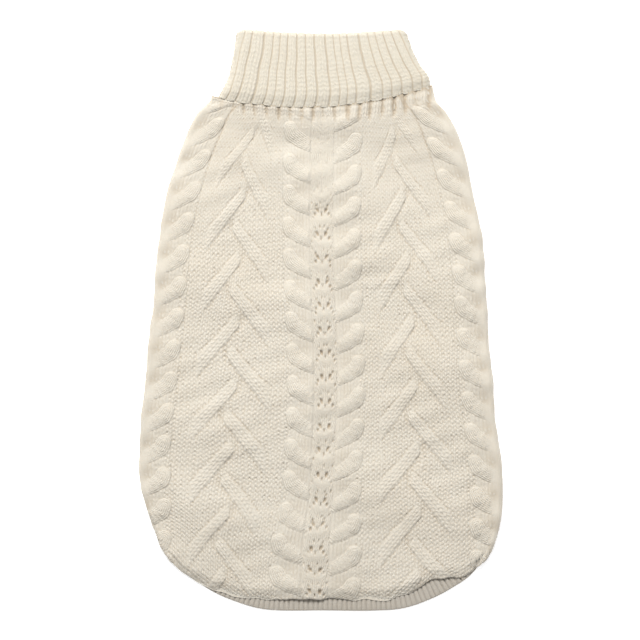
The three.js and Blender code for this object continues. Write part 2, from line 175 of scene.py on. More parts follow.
strand = {
    # along one strand: place across the cable, share of the repeat below its top, half thickness
    "line": [
        (0.54, 0.25, 4.6), (0.36, 0.44, 5.0), (-0.2, 0.62, 4.6), (-0.8, 0.77, 3.9), (-1.2, 0.85, 3.4),
    ],
    "cableHalf": 9.3, "rise": 1.38, "reach": 1.14, "crown": 2.2, "flank": 1.15, "stitchLength": 2.7,
    # the hollow beside a strand, and how the height falls to it at the cable's inner side
    "hollow": 0.36, "hollowFrom": 0.7, "hollowOver": 0.5, "sideOver": 0.25,
    # the painted shadow dash between two strands, where the hollow also dips: place, half width, half
    # height, tilt
    "shadowDash": (0.12, 0.34, 0.075, 0.06),
    # the sunk patch under the shadow dash, a dip that is also painted with shade: place, how far below the
    # dash, half width, half height, depth
    "sunk": (-0.3, 0.14, 0.5, 0.22, 0.6),
    # the groove round a strand: distance, half width, depth
    "outline": (1.08, 0.13, 0.1), "outlineShade": 0.9,
    # soft bumps and pits in the edge cables' outer half: place, start, half width, half height
    "edgeBump": (-0.66, -0.4, 0.3, 0.22), "edgePit": (-0.6, 0.18, 0.28, 0.14),
    "edgeBumpRise": 0.6, "edgePitDeep": 0.35,
}


def alongStrand(px, py):
    # distance to the strand's line in half thicknesses, the same with its side, and length along it
    away, across, along = np.full_like(px, 9.0), np.zeros_like(px), np.zeros_like(px)
    before = 0.0
    for start, end in zip(strand["line"], strand["line"][1:]):
        ax, ay = start[0] * strand["cableHalf"], -start[1] * pattern["repeat"]
        wayX, wayY = end[0] * strand["cableHalf"] - ax, -end[1] * pattern["repeat"] - ay
        length = math.hypot(wayX, wayY)
        share = np.clip(((px - ax) * wayX + (py - ay) * wayY) / length**2, 0, 1)
        dx, dy = px - ax - share * wayX, py - ay - share * wayY
        far = np.hypot(dx, dy) / (start[2] + (end[2] - start[2]) * share)
        nearer = far < away
        across = np.where(nearer, far * np.sign(dx * wayY - dy * wayX), across)
        along = np.where(nearer, before + share * length, along)
        away = np.where(nearer, far, away)
        before += length
    return away, across, along


def ropeCable(q, y, cable):
    creaseY, lean = cable
    place = np.clip(-lean * q, -1, 1)
    turn = (creaseY - y) / pattern["repeat"]
    t = turn % 1
    px, py = place * strand["cableHalf"], -t * pattern["repeat"]
    away, across, along = alongStrand(px, py)
    ridge = (1 - np.clip(away / strand["reach"], 0, 1) ** strand["crown"]) ** strand["flank"]

    dashX, dashHalf, dashTall, dashTilt = strand["shadowDash"]
    down = (t + 0.5) % 1 - 0.5 + dashTilt * (place - dashX)
    vary = perStitch(np.floor(turn + 0.5), creaseY, 61)
    shadowDash = (0.5 + 0.5 * vary) * spot((place - dashX) / dashHalf, down / dashTall)
    sunkX, sunkBelow, sunkHalf, sunkTall, sunkDeep = strand["sunk"]
    sunk = spot((place - sunkX) / sunkHalf, (down - sunkBelow) / sunkTall)
    hollow = strand["hollow"] * smooth((strand["hollowFrom"] - place) / strand["hollowOver"])
    hollow = hollow * (1 - 0.7 * np.maximum(shadowDash, sunkDeep * sunk))
    height = (hollow**3 + ridge**3) ** (1 / 3) * smooth((1 + place) / strand["sideOver"])
    outlineAt, outlineHalf, outlineDeep = strand["outline"]
    outline = spot((away - outlineAt) / outlineHalf) * smooth((place + 0.8) / 0.5)
    height = height - outlineDeep * outline

    onStrand = np.clip(np.maximum(ridge, hollow) / 0.2, 0, 1)
    lines = 0.45 + 0.55 * smooth(ridge / 0.4)
    # painted shade: the shadow dash, the hollow beside a strand with its sunk patch, and the groove round a
    # strand darken the yarn
    shade = np.maximum(shadowDash, (0.35 + 0.55 * sunk) * (1 - smooth(ridge / 0.5)))
    shade = np.maximum(shade, strand["outlineShade"] * outline)
    # the wales follow a strand, and run straight down between the strands
    column = np.where(ridge > 0.02, 2 * across, 2.2 * place + 0.5)
    length = np.where(ridge > 0.02, along, -py)
    return strand["rise"] * height, column, length, place, lines, onStrand, shade


def onRepeat(place, turn, shape):
    across, start, half, tall = shape
    return spot((place - across) / half, ((turn + start) % 1 - 0.5) / tall)


# Herringbone: slanting bars in turns from the left and from the right, over the purl fields

bars = {
    # where the lower bars lie at the cable, and the part of the field's half that a bar crosses
    "firstY": 1.9, "from": -0.12, "to": 0.72, "topOver": 0.12, "endOver": 0.14,
    "rise": 0.57, "half": 6.2, "swell": 2.0, "uneven": 0.5, "crown": 3.2, "flank": 1.3,
    "grooveHalf": 1.0, "grooveDeep": 0.2,
    # the pit at a bar's top: how far in, how far below, half width, half height, depth
    "pocket": (0.02, 4, 0.15, 5, 0.6),
    # heights where the bars get weaker and where they end
    "weak": (112, 30), "last": (128, 14),
}


def slantBars(f, y):
    height, across, onBar, sunk, shade = [np.zeros_like(y) for _ in range(5)]
    repeat = 2 * pattern["repeat"]
    pocketIn, pocketBelow, pocketHalf, pocketTall, pocketDeep = bars["pocket"]
    for lean in (-1, 1):
        reach = lean * f
        down = np.clip((reach - bars["from"]) / (bars["to"] - bars["from"]), 0, 1)
        start = bars["firstY"] - (pattern["repeat"] if lean > 0 else 0)
        line = start - repeat * (reach - bars["from"])
        away = (((y - line) / repeat + 0.5) % 1 - 0.5) * repeat
        number = np.floor((y - line) / repeat + 0.5)
        half = bars["half"] + bars["swell"] * down**2 + bars["uneven"] * ripple(reach * 30, y, 17, 12)
        top = smooth((reach - 0.4 * away / repeat - bars["from"]) / bars["topOver"])
        ends = top * smooth((bars["to"] - reach) / bars["endOver"])
        edge = np.clip(1 - np.abs(away / half), 0, 1)
        strength = 0.85 + 0.3 * perStitch(number, lean, 18)
        strength = strength * (0.6 + 0.4 * below(y, bars["weak"]))
        rise = bars["rise"] * strength * (1 - (1 - edge) ** bars["crown"]) ** bars["flank"] * ends
        groove = spot((np.abs(away) - half - 0.4) / bars["grooveHalf"]) * ends
        pocket = spot((reach - bars["from"] - pocketIn) / pocketHalf, (away + pocketBelow) / pocketTall)
        sunk = np.maximum(sunk, np.maximum(bars["grooveDeep"] * groove, pocketDeep * pocket))
        shade = np.maximum(shade, np.maximum(groove, pocket))
        across = np.where(rise > height, away / half, across)
        onBar = np.where(rise > height, np.clip(rise / 0.4, 0, 1), onBar)
        height = np.maximum(height, rise)
    fade = below(y, bars["last"])
    return np.where(onBar > 0.5, height, height - sunk) * fade, across, onBar, shade * fade


# Lace column: each repeat has a pair of eyelets, smaller ones fanning out below, and a plain crescent

laces = {
    "repeat": 15.0, "wale": 2.0, "course": 2.5, "unevenRepeat": 0.03, "uneven": 1.6, "deepest": 1.9,
    # height, number of repeats down to there
    "count": [(140, -4), (82.5, 0), (-50.2, 9), (-141.7, 15), (-168, 17), (-190, 18.6)],
    # each pair of eyelets: place across, place below the first pair, width, height, depth, unevenness
    "eyelets": [
        (2.6, 0, 0.85, 1.5, 1.0, 0.3), (0.2, 2.6, 0.3, 1.3, 0.45, 0.4), (4.4, 2.2, 0.7, 1.1, 0.7, 0.8),
        (5.8, 4.6, 0.6, 1.0, 0.6, 1.0), (1.6, 9.8, 0.5, 0.9, 0.5, 1.0), (3.6, 11.6, 0.6, 0.9, 0.6, 0.9),
        (6.4, 9.0, 0.5, 1.0, 0.5, 1.0),
    ],
    # heights where the eyelets and the crescents fade near the neck
    "eyeletsFrom": (84, 14), "crescentsFrom": (88, 14),
    # the crescent: place below the first pair, bend, half height, half width
    "crescent": (5.8, 0.07, 2.0, 6.5),
}


def laceColumn(x, y):
    repeat = laces["repeat"]
    count = readTable(laces["count"], 1, y) + laces["unevenRepeat"] * ripple(x, y, 19, 30)
    place = count % 1
    away = np.abs(x)
    fan = (y + 0.9 * away * np.cos(2 * np.pi * place)) / laces["course"]
    lean = x * (1 + 0.16 * np.sin(2 * np.pi * place))
    stitch = knitStitch(lean / laces["wale"] + 0.5, fan)
    pit = 0
    for number, (across, drop, wide, tall, deep, uneven) in enumerate(laces["eyelets"]):
        most = laces["uneven"] * uneven
        for side in (-1, 1):
            turns = np.floor(count - drop / repeat + 0.5)
            vary = perStitch(turns, side, 50 + number)
            other = perStitch(turns, side, 70 + number)
            down = ((place - drop / repeat + 0.5) % 1 - 0.5) * repeat + most * (other - 0.5)
            tilt = x - side * (across + most * (vary - 0.5)) + side * (0.1 + 0.4 * other) * down
            wedge = wide * (1 - 0.3 * np.clip(down / tall, -1, 1))
            hole = np.exp(-(np.abs(tilt / wedge) ** 2.5) - np.abs(down / tall) ** 2.5)
            pit = pit + (1 - uneven * other) * deep * hole
    pit = np.clip(pit, 0, 1) * (0.2 + 0.8 * below(y, laces["eyeletsFrom"]))
    drop, bend, tall, half = laces["crescent"]
    crescent = spot((place * repeat - drop + bend * x * x) / tall) * smooth((half - away) / 4)
    crescent = crescent * below(y, laces["crescentsFrom"])
    stitch = stitch * (1 - 0.5 * crescent) + 0.6 * crescent
    return stitch * (1 - pit) - laces["deepest"] * pit, pit


# The whole back: where each pattern lies

def knitEdge(side, y):
    return readTable(body["outline"], 1 if side < 0 else 2, np.maximum(y, body["tailY"]))


def middleX(y):
    return readTable(body["middle"], 1, y)


fields = {
    # unevenness of the purl stitches, sideways and up and down, each in short and in long waves
    "sway": (0.1, 0.4), "sag": (0.09, 0.5), "shortWave": 9, "longWave": 40,
    # the purl rows stand out less near the neck, where the cloth is stretched
    "bold": 0.38, "bolder": 0.36, "bolderFrom": (105, 75),
    # on the bars: wales over half a bar, courses and cut; height of the stitches and depth of shade
    "barKnit": (1.2, 1.1, 0.8), "barStitch": 0.7, "barShade": 0.28,
    # on the cables: cut and unevenness of the stitches, and painted shade between the stitches and in the
    # hollows
    "cableCut": 0.35, "cableUneven": 0.3, "cableGrooveShade": 0.55, "cableShade": 0.38,
    # the groove along the edge cables, sunk and painted with shade, and the heights where it deepens and
    # where it starts
    "border": 0.5, "borderHalf": 0.8, "borderDeep": (80, 40), "borderFrom": (-140, 20),
}


def purlField(x, y, share, side):
    # purl stitches and slanting bars; share runs from -1 at the inner cable to 1 at the edge cable
    rise, across, onBar, barShade = slantBars(side * share, y)
    sway, sag = [
        fields[key][0] * ripple(x, y, seed, fields["shortWave"])
        + fields[key][1] * ripple(x, y, seed + 2, fields["longWave"])
        for key, seed in (("sway", 11), ("sag", 12))
    ]
    v = y / pattern["course"]
    purl = purlStitch((share * 0.5 + 0.5) * pattern["fieldWales"] * side + sway, v + sag)
    barWales, barCourses, barCut = fields["barKnit"]
    barKnit = knitStitch(across * barWales + 4.5, v * barCourses, barCut)
    bold = fields["bold"] + fields["bolder"] * below(y, fields["bolderFrom"])
    stitch = onBar * fields["barStitch"] * (barKnit - 0.45) + (1 - 0.85 * onBar) * bold * (purl - 0.5)
    # painted shade: the purl pits, and the grooves and pits beside the bars, are darker
    shadeTone = onBar * (0.8 + 0.2 * barKnit) + (1 - onBar) * (0.3 + 0.7 * np.clip(purl + 0.2, 0, 1))
    return rise, stitch, shadeTone - fields["barShade"] * barShade * (1 - onBar)


def knitField(x, y):
    # the relief of the cables and bars, that of the stitches, and the painted shade tone of the yarn there
    # (1 where unshaded)
    mid = middleX(y)
    side = np.where(x < mid, -1, 1)
    edge = np.where(side < 0, knitEdge(-1, y), knitEdge(1, y))
    fromMiddle, fromEdge = (x - mid) * side, edge - x * side
    spread = 1 + pattern["spread"] * below(y, pattern["spreadFrom"])
    cableOuter = (pattern["cableCentre"] + pattern["cableHalf"]) * spread
    cableInner = (pattern["cableCentre"] - pattern["cableHalf"]) * spread
    fieldWidth = edge - side * mid - pattern["edgeWidth"] - cableOuter
    share = (fromMiddle - cableOuter) / fieldWidth * 2 - 1
    rise, stitch, shadeTone = purlField(x, y, share, side)

    for number, cable in enumerate(pattern["cables"]):
        atEdge = number in pattern["edgeCables"]
        sign = -1 if number < 2 else 1
        if atEdge:
            q = sign * (1 - 2 * fromEdge / pattern["edgeWidth"])
            inside = (side == sign) & (fromEdge < pattern["edgeWidth"])
        else:
            q = sign * (fromMiddle / spread - pattern["cableCentre"]) / pattern["cableHalf"]
            inside = (side == sign) & (np.abs(q) < 1)
        height, column, along, place, lines, onStrand, shade = ropeCable(q, y, cable)
        course = -along / strand["stitchLength"] + fields["cableUneven"] * ripple(x, y, 15, 10)
        knit = knitStitch(column, course, fields["cableCut"])
        if atEdge:
            # the outer half turns down round the side, where the strands are flatter and plainer; it and
            # its pits are painted darker as shade
            turn = (cable[0] - y) / pattern["repeat"]
            bump, pit = [onRepeat(place, turn, strand[key]) for key in ("edgeBump", "edgePit")]
            height = height * (0.2 + 0.8 * smooth((place + 0.8) / 0.9))
            height = height + strand["edgeBumpRise"] * bump - strand["edgePitDeep"] * pit
            height = height * smooth((fromEdge + 2.2) / 5)
            shade = shade + 0.5 * pit
            shade = shade + 0.35 * smooth(-place / 0.5)
            lines = lines * smooth((fromEdge - 3) / 5)
            onStrand = np.maximum(onStrand, smooth(-3 * place))
        rise = np.where(inside, height, rise)
        stitch = np.where(inside, (knit - 0.5) * lines * onStrand + (1 - onStrand) * stitch, stitch)
        # painted shade between the stitches' legs and in the cables' hollows, dashes and grooves
        cableShadeTone = 1 - fields["cableGrooveShade"] * (1 - knit) ** 1.5 * lines
        cableShadeTone = cableShadeTone - fields["cableShade"] * shade
        shadeTone = np.where(inside, cableShadeTone * onStrand + shadeTone * (1 - onStrand), shadeTone)

    border = spot((fromEdge - pattern["edgeWidth"] - 0.5) / fields["borderHalf"])
    border = border * (0.3 + 0.7 * above(y, fields["borderDeep"]))
    border = fields["border"] * (border * above(y, fields["borderFrom"]))
    # the border groove sinks the stitches and is painted darker as shade
    stitch, shadeTone = stitch - border, shadeTone - border

    lace = fromMiddle < cableInner
    laceHeight, pit = laceColumn((x - mid) / spread, y)
    # painted shade: the eyelets and the low stitches of the lace are darker
    laceShadeTone = 0.7 + 0.3 * np.clip(laceHeight, 0, 1) - 1.1 * np.clip(pit, 0, 1)
    rise = np.where(lace, 0, rise)
    stitch = np.where(lace, 0.8 * (laceHeight - 0.5) + 0.4, stitch)
    return rise, stitch, np.clip(np.where(lace, laceShadeTone, shadeTone), 0, 1)


def neckCurve(x):
    return 1 - np.minimum(1, np.abs(x - body["neckX"]) / body["neckHalf"]) ** 2


def nearNeck(y):
    return smooth(1 - (body["neckY"] - y) / body["neckReach"])


def rowY(y, x):
    # the rows bend with the neck's dip and with the hem; above neckY they run under the cuff's edge
    nearHem = smooth(1 - (y - body["hemY"]) / body["hemReach"])
    drop = readTable(body["hem"], 1, x) - body["hemY"]
    toCuff = collar["cuffEdgeY"] - body["neckY"] + 0.6 + collar["cuffTilt"] * x
    toCuff = toCuff - (collar["cuffDip"] - body["neckDip"]) * neckCurve(x)
    under = np.maximum(y - body["neckY"], 0)
    bent = y - under + under / body["underCuff"] * toCuff
    return bent - body["neckDip"] * nearNeck(y) * neckCurve(x) + drop * nearHem


def lift(y):
    # how far the cloth rises off the table towards the neck
    return body["neckLift"] * smooth((y - body["liftFromY"]) / (body["neckY"] - body["liftFromY"]))


def upperFace(y):
    return body["topHeight"] + lift(y) - (body["topHeight"] - body["tailHeight"]) * below(y, body["tail"])


# Meshes

def gridNormals(points):
    along = np.gradient(points, axis=0)
    across = np.gradient(points, axis=1)
    normals = np.cross(along, across)
    return normals / np.maximum(np.linalg.norm(normals, axis=2, keepdims=True), 1e-12)


def addObject(name, data):
    thing = bpy.data.objects.new(name, data)
    bpy.context.scene.collection.objects.link(thing)
    return thing


def newPiece(name, points, faces, normals=None, shadeTone=None):
    mesh = bpy.data.meshes.new(name)
    mesh.from_pydata(((np.asarray(points) + shift) * mm).tolist(), [], faces)
    mesh.shade_smooth()
    if shadeTone is not None:
        layer = mesh.attributes.new("shadeTone", "FLOAT", "POINT")
        layer.data.foreach_set("value", np.asarray(shadeTone, np.float32))
    if normals is not None:
        mesh.normals_split_custom_set_from_vertices(np.asarray(normals, float).tolist())
    return addObject(name, mesh)


def corners(grid):
    # the four corners of each cell of a grid, in order
    return grid[:-1, :-1], grid[1:, :-1], grid[1:, 1:], grid[:-1, 1:]


def gridFaces(first, rows, columns, flip=False):
    faces = corners(first + np.arange(rows * columns).reshape(rows, columns))
    return np.stack(faces[::-1] if flip else faces, axis=-1).reshape(-1, 4).tolist()


def rimFaces(fine, coarse, steps, flip):
    faces = []
    for k in range(len(steps) - 1):
        for i in range(steps[k], steps[k + 1]):
            faces.append((fine[i], fine[i + 1], coarse[k]))
        faces.append((fine[steps[k + 1]], coarse[k + 1], coarse[k]))
    return [tuple(reversed(face)) for face in faces] if flip else faces


def everyFew(count, step):
    picked = list(range(0, count - 1, step))
    if count - 1 - picked[-1] < step // 2 and len(picked) > 1:
        picked.pop()
    return picked + [count - 1]


innerFace = {"step": 6, "shadeTone": 0.7}


def clothShell(name, outer, inner, normals, innerNormals, shadeTone):
    # a fine outer face and a plain inner one, closed all round
    rows, columns = outer.shape[:2]
    rowSteps, columnSteps = everyFew(rows, innerFace["step"]), everyFew(columns, innerFace["step"])
    low = inner[np.ix_(rowSteps, columnSteps)]
    lowNormals = innerNormals[np.ix_(rowSteps, columnSteps)]
    first, lowCount = rows * columns, low.shape[0] * low.shape[1]
    fine = np.arange(first).reshape(rows, columns)
    coarse = first + np.arange(lowCount).reshape(low.shape[:2])
    faces = gridFaces(0, rows, columns) + gridFaces(first, *low.shape[:2], flip=True)
    faces += rimFaces(fine[0], coarse[0], columnSteps, False)
    faces += rimFaces(fine[-1], coarse[-1], columnSteps, True)
    faces += rimFaces(fine[:, 0], coarse[:, 0], rowSteps, True)
    faces += rimFaces(fine[:, -1], coarse[:, -1], rowSteps, False)
    points = np.concatenate([outer.reshape(-1, 3), low.reshape(-1, 3)])
    allNormals = np.concatenate([normals.reshape(-1, 3), lowNormals.reshape(-1, 3)])
    allTone = np.concatenate([shadeTone.reshape(-1), np.full(lowCount, innerFace["shadeTone"])])
    return newPiece(name, points, faces, allNormals, allTone)


def loopShell(name, rings, shadeTone):
    # rings of equal count, the last joined to the first
    count, around = rings.shape[:2]
    index = np.arange(count * around).reshape(count, around)
    after = np.roll(index, -1, axis=0)
    quads = np.stack([index, after, np.roll(after, -1, axis=1), np.roll(index, -1, axis=1)], axis=-1)
    return newPiece(name, rings.reshape(-1, 3), quads.reshape(-1, 4).tolist(), None, shadeTone.reshape(-1))


# Materials

yarn = {
    # each deep colour is painted shade, mixed in where the yarn lies in pits, grooves, creases and under
    # edges
    "cream": (0.405, 0.375, 0.322), "creamShadeColour": (0.28, 0.225, 0.158),
    "rib": (0.39, 0.362, 0.306), "ribShadeColour": (0.26, 0.198, 0.125),
    # the band's colour is the cream painted darker, as painted shade for the band that lies low beside the
    # panel's edge
    "band": (0.30, 0.275, 0.237), "bandShadeColour": (0.15, 0.13, 0.105),
    # slow patches and fine specks of colour: how much of each channel they leave, and noise scales
    "patch": (0.965, 0.95, 0.93), "patchScale": 22, "speck": 0.86, "speckScale": 900,
    # relief of the loose fibres and of the twisted plies
    "fuzz": 0.00022, "fibreScale": 2600, "fibreStrength": 0.55,
    "plyDepth": 1.6, "plyScale": 1100, "plyStrength": 0.5,
    "finish": {
        "Roughness": 0.92, "Specular IOR Level": 0.25, "Sheen Weight": 0.25, "Sheen Roughness": 0.45,
        "Sheen Tint": (1.0, 0.97, 0.9, 1.0), "Subsurface Weight": 0.35,
        "Subsurface Radius": (0.0016, 0.0014, 0.0012), "Subsurface Scale": 1.0,
    },
}


def newMaterial(name, finish):
    material = bpy.data.materials.new(name)
    material.use_nodes = True
    shader = material.node_tree.nodes["Principled BSDF"]
    for socket, value in finish.items():
        shader.inputs[socket].default_value = value
    return material, shader


def newNode(tree, kind, inputs, output=0, **settings):
    # each input is a number, a colour or another node's output
    node = tree.nodes.new("ShaderNode" + kind)
    for key, value in settings.items():
        setattr(node, key, value)
    for socket, value in inputs.items():
        if isinstance(value, bpy.types.NodeSocket):
            tree.links.new(value, node.inputs[socket])
        else:
            node.inputs[socket].default_value = value
    return node.outputs[output]


def yarnMaterial(name, colour, deep):
    # deep is the colour of the painted shade
    material, shader = newMaterial(name, yarn["finish"])
    tree = material.node_tree
    place = newNode(tree, "TexCoord", {}, "Object")

    def noise(scale, detail, rough):
        grain = {"Scale": scale, "Detail": detail, "Roughness": rough}
        return newNode(tree, "TexNoise", {"Vector": place, **grain})

    def ramp(value, fromMin, fromMax, low, high):
        ends = {"From Min": fromMin, "From Max": fromMax, "To Min": low, "To Max": high}
        return newNode(tree, "MapRange", {"Value": value, **ends})

    def blend(factor, a, b):
        return newNode(tree, "Mix", {"Factor": factor, 6: a, 7: b}, 2, data_type="RGBA")

    def relief(height, strength, distance, **under):
        shape = {"Strength": strength, "Distance": distance}
        return newNode(tree, "Bump", {"Height": height, **shape, **under})

    shadeTone = newNode(tree, "Attribute", {}, "Fac", attribute_name="shadeTone")
    patch = (*[c * f for c, f in zip(colour, yarn["patch"])], 1)
    speck = (*[c * yarn["speck"] for c in colour], 1)
    patches, specks = noise(yarn["patchScale"], 3, 0.6), noise(yarn["speckScale"], 4, 0.7)
    base = blend(ramp(patches, 0.3, 0.7, 0, 1), (*colour, 1), patch)
    base = blend(ramp(specks, 0.35, 0.75, 0, 0.5), base, speck)
    # painted shade: where the shade tone is low (pits, grooves, creases, under edges) the colour is mixed
    # toward the warmer, darker deep colour
    depth = ramp(ramp(shadeTone, 0, 0.75, 1, 0), 0, 1, 0, 0.75)
    tree.links.new(blend(depth, base, (*deep, 1)), shader.inputs["Base Color"])
    fibres = relief(noise(yarn["fibreScale"], 3, 0.75), yarn["fibreStrength"], yarn["fuzz"])
    plyDepth = yarn["fuzz"] * yarn["plyDepth"]
    plies = relief(noise(yarn["plyScale"], 2, 0.5), yarn["plyStrength"], plyDepth, Normal=fibres)
    tree.links.new(plies, shader.inputs["Normal"])
    return material, shader


knitCream, _ = yarnMaterial("knitCream", yarn["cream"], yarn["creamShadeColour"])
ribCream, _ = yarnMaterial("ribCream", yarn["rib"], yarn["ribShadeColour"])
bandCreamInShade, _ = yarnMaterial("bandCreamInShade", yarn["band"], yarn["bandShadeColour"])


def finishPiece(piece, node, material):
    piece.data.materials.append(material)
    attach(piece, "root")
    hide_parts(node)
    return piece


# Collar sizes, which the top of the back panel follows too

collar = {
    "wall": 2.2, "cuffGap": 0.4, "hollow": 0.7, "edgeThin": 1.9, "neckThin": 1.3,
    "ribsAcross": 18, "ribsAtEnd": 2, "pointsPerRib": 14,
    "seamY": 135.4, "topY": 183.2, "topDip": 5.6, "cuffEdgeY": 142.0, "cuffDip": 9.9,
    "cuffTilt": 0.05, "cornerDrop": 2.2, "cornerWidth": 6, "foldHalf": 47.5, "edgeHalf": 61.0,
    # one rib: height, where its groove lies, half the groove, its stitches
    "ribRise": 0.9, "grooveAt": 1 / 6, "grooveHalf": 0.1, "course": 2.5, "cut": 0.5, "stitch": 0.7,
    "scallop": 0.4, "scallopWave": 12,
    # height, middle and half width of the outline
    "outline": [
        (181, 1.2, 53), (176, 1.5, 53.6), (170, 1.9, 54.9), (162, 2.7, 57.4), (155, 3.4, 60),
        (148, 3.7, 63.8), (143, 2.8, 66.9), (136, 1.5, 69.5), (125, 1.5, 74),
    ],
    "flat": (0.262, 0.096),
}


# Back panel: one knitted cloth wrapped round both sides, meshed in five strips

back = {
    "rowStep": 0.55, "tailRowStep": 0.42,
    # slow waves and short puckers: height and length; dips deeper than dipLimit are softened
    "undulation": (1.45, 55), "pucker": (0.4, 20), "dipLimit": 0.6, "calm": 0.65, "calmFrom": (116, 12),
    # below the cuff the collar's ribs run on as gathers, and just under it as rib stitches
    "gatherHalf": 64.3, "gatherFrom": (128, 9), "ribsFrom": (130, 6),
    "gatherRise": 0.4, "gatherDeep": 1.1, "gatherGroove": 0.2,
    "cuffRise": 0.75, "creaseShade": 0.8, "bulgeRight": 1.1, "bulgeLeft": 0.8,
    # at the hem the edge is rounded and a little uneven, and it bends down to the table
    "hemRound": 1.1, "hemRoundReach": 2.2, "hemUneven": 0.7, "hemLip": 2.2,
    "lipWidth": 6, "sinkOnTable": 0.45,
    # soft dents where the cloth has slumped: place, height, half width, half height, depth
    "dents": [
        (-36, 24, 15, 4.5, 1.1), (42, 3, 20, 5, 1.1), (38, 28, 16, 4, 0.9), (40, -74, 17, 5, 1.0),
        (-40, -103, 15, 5, 0.9), (-44, 66, 14, 5, 0.8), (60, 50, 10, 8, 0.8), (-62, -40, 9, 9, 0.7),
    ],
    "underColumns": 6, "foldColumns": 16, "edgeColumns": 44,
    "fieldColumns": 140, "cableColumns": 40, "laceColumns": 24,
    # flat size of each strip's cut, in metres
    "strips": [
        ("back_edge_left", (0.032, 0.300)), ("back_field_left", (0.068, 0.320)),
        ("back_middle", (0.050, 0.325)), ("back_field_right", (0.068, 0.320)),
        ("back_edge_right", (0.032, 0.300)),
    ],
}


def halfBack(y, sign):
    # one half of the panel, from the tip under the side to the middle, for rows of heights y
    edge = readTable(body["outline"], 1 if sign < 0 else 2, y)[:, None]
    height, under = upperFace(y)[:, None], lift(y)[:, None]
    radius = (height - under) / 2
    wrapped = smooth((y - body["bellyHemY"] + 1) / 12)[:, None]
    fold = np.pi * (0.5 + 0.5 * wrapped)
    tuck = (body["turnUnder"] - radius) * wrapped
    centreX, centreZ = edge - radius, height - radius
    endX, endZ = centreX + radius * np.sin(fold), centreZ + radius * np.cos(fold)
    mid = (sign * middleX(y))[:, None]
    outerCable = mid + pattern["cableCentre"] + pattern["cableHalf"]
    innerCable = mid + pattern["cableCentre"] - pattern["cableHalf"]
    fieldFrom = edge - pattern["edgeWidth"]

    def spread(a, b, count):
        return a + (b - a) * np.linspace(0, 1, count, endpoint=False)[None, :]

    t = np.linspace(0, 1, back["underColumns"], endpoint=False)[None, :]
    share = np.linspace(1, 0, back["foldColumns"], endpoint=False)[None, :]
    top = np.concatenate([
        spread(centreX, fieldFrom, back["edgeColumns"]),
        spread(fieldFrom, outerCable, back["fieldColumns"]),
        spread(outerCable, innerCable, back["cableColumns"]),
        spread(innerCable, mid, back["laceColumns"]),
    ], axis=1)
    ones = np.ones_like(top)
    underX, foldX = endX - tuck * (1 - t), centreX + radius * np.sin(fold * share)
    underZ, foldZ = endZ - 0.3 * (1 - wrapped) * (1 - t), centreZ + radius * np.cos(fold * share)
    x = np.concatenate([underX, foldX, top], axis=1)
    z = np.concatenate([underZ, foldZ, height * ones], axis=1)
    angle = np.concatenate([fold * np.ones_like(t), fold * share, 0 * ones], axis=1)
    # the cables and bars stand out on top and fade out round the side
    stand = (0.55 + 0.45 * (1 - share)) * smooth((0.82 - share) / 0.24)
    stand = np.concatenate([np.zeros_like(underX), stand * np.ones_like(foldX), ones], axis=1)
    lip = smooth((edge - x) / back["lipWidth"]) * (angle < 1e-9)
    return sign * x, z, sign * np.sin(angle), np.cos(angle), stand, lip


def slowRelief(x, y, rows, stand):
    # waves, puckers and dents of the whole cloth
    (waves, waveLength), (puckers, puckerLength) = back["undulation"], back["pucker"]
    slow = waves * ripple(x, y, 21, waveLength) + puckers * ripple(0.6 * x, y, 22, puckerLength)
    slow = slow * stand
    for dentX, dentY, wide, tall, deep in back["dents"]:
        slow = slow - deep * spot((x - dentX) / wide, (y - dentY - 0.12 * (x - dentX)) / tall)
    # the dips stay shallower than the cloth is thick, and all of it calms down at the neck
    limit = back["dipLimit"]
    softened = -limit - limit * (1 - np.exp(np.minimum(slow + limit, 0) / limit))
    slow = np.where(slow < -limit, softened, slow)
    return slow * (1 - back["calm"] * above(rows, back["calmFrom"]))


def backRelief(x, y, rows, stand):
    # how far the outer face stands out, and its painted shade tone; y is a row's height with its bends
    rise, stitch, shadeTone = knitField(x, y)
    underCuffY, fromHem, onTop = body["neckY"] + body["underCuff"], rows - body["hemY"], stand > 0.9
    fade = smooth((underCuffY - rows) / 8) * (0.35 + 0.65 * smooth(fromHem / 7))
    edgeDrop = np.clip(1 - fromHem / back["hemRoundReach"], 0, 1)
    rounding = back["hemRound"] * (1 - np.sqrt(1 - edgeDrop**2))

    ribs = ((x - body["neckX"]) / back["gatherHalf"] + 1) * collar["ribsAcross"] / 2
    f = (ribs + 0.12 * ripple(x, rows, 23, 25) - collar["grooveAt"]) % 1
    groove = ribGroove(f, back["gatherGroove"])
    gathered = above(rows, back["gatherFrom"])
    gathered = gathered * np.clip(1.0 + 0.7 * ripple(x, 0 * x, 26, 14), 0.3, 1.8)
    gather = back["gatherRise"] - back["gatherDeep"] * groove
    ribKnit = knitStitch(f * 2, rows / collar["course"], collar["cut"])
    ribbed = above(rows, back["ribsFrom"]) * onTop
    stitch = stitch * (1 - ribbed) + 0.7 * (ribKnit - 0.5) * ribbed

    toCuff = back["cuffRise"] * smooth((rows - body["neckY"] + 1) / 4) * onTop
    # painted shadow: the rows just under the cuff's edge are darkened, and the gathers' grooves get painted
    # shade
    underCuff = smooth((rows - body["neckY"] - body["underCuff"] + 1.6) / 1.4)
    shadeTone = np.clip(shadeTone - back["creaseShade"] * (gathered * groove) - 0.8 * underCuff, 0, 1)
    slow = slowRelief(x, y, rows, stand)
    return stand * fade * rise, stitch, slow - rounding + stand * gathered * gather + toCuff, shadeTone


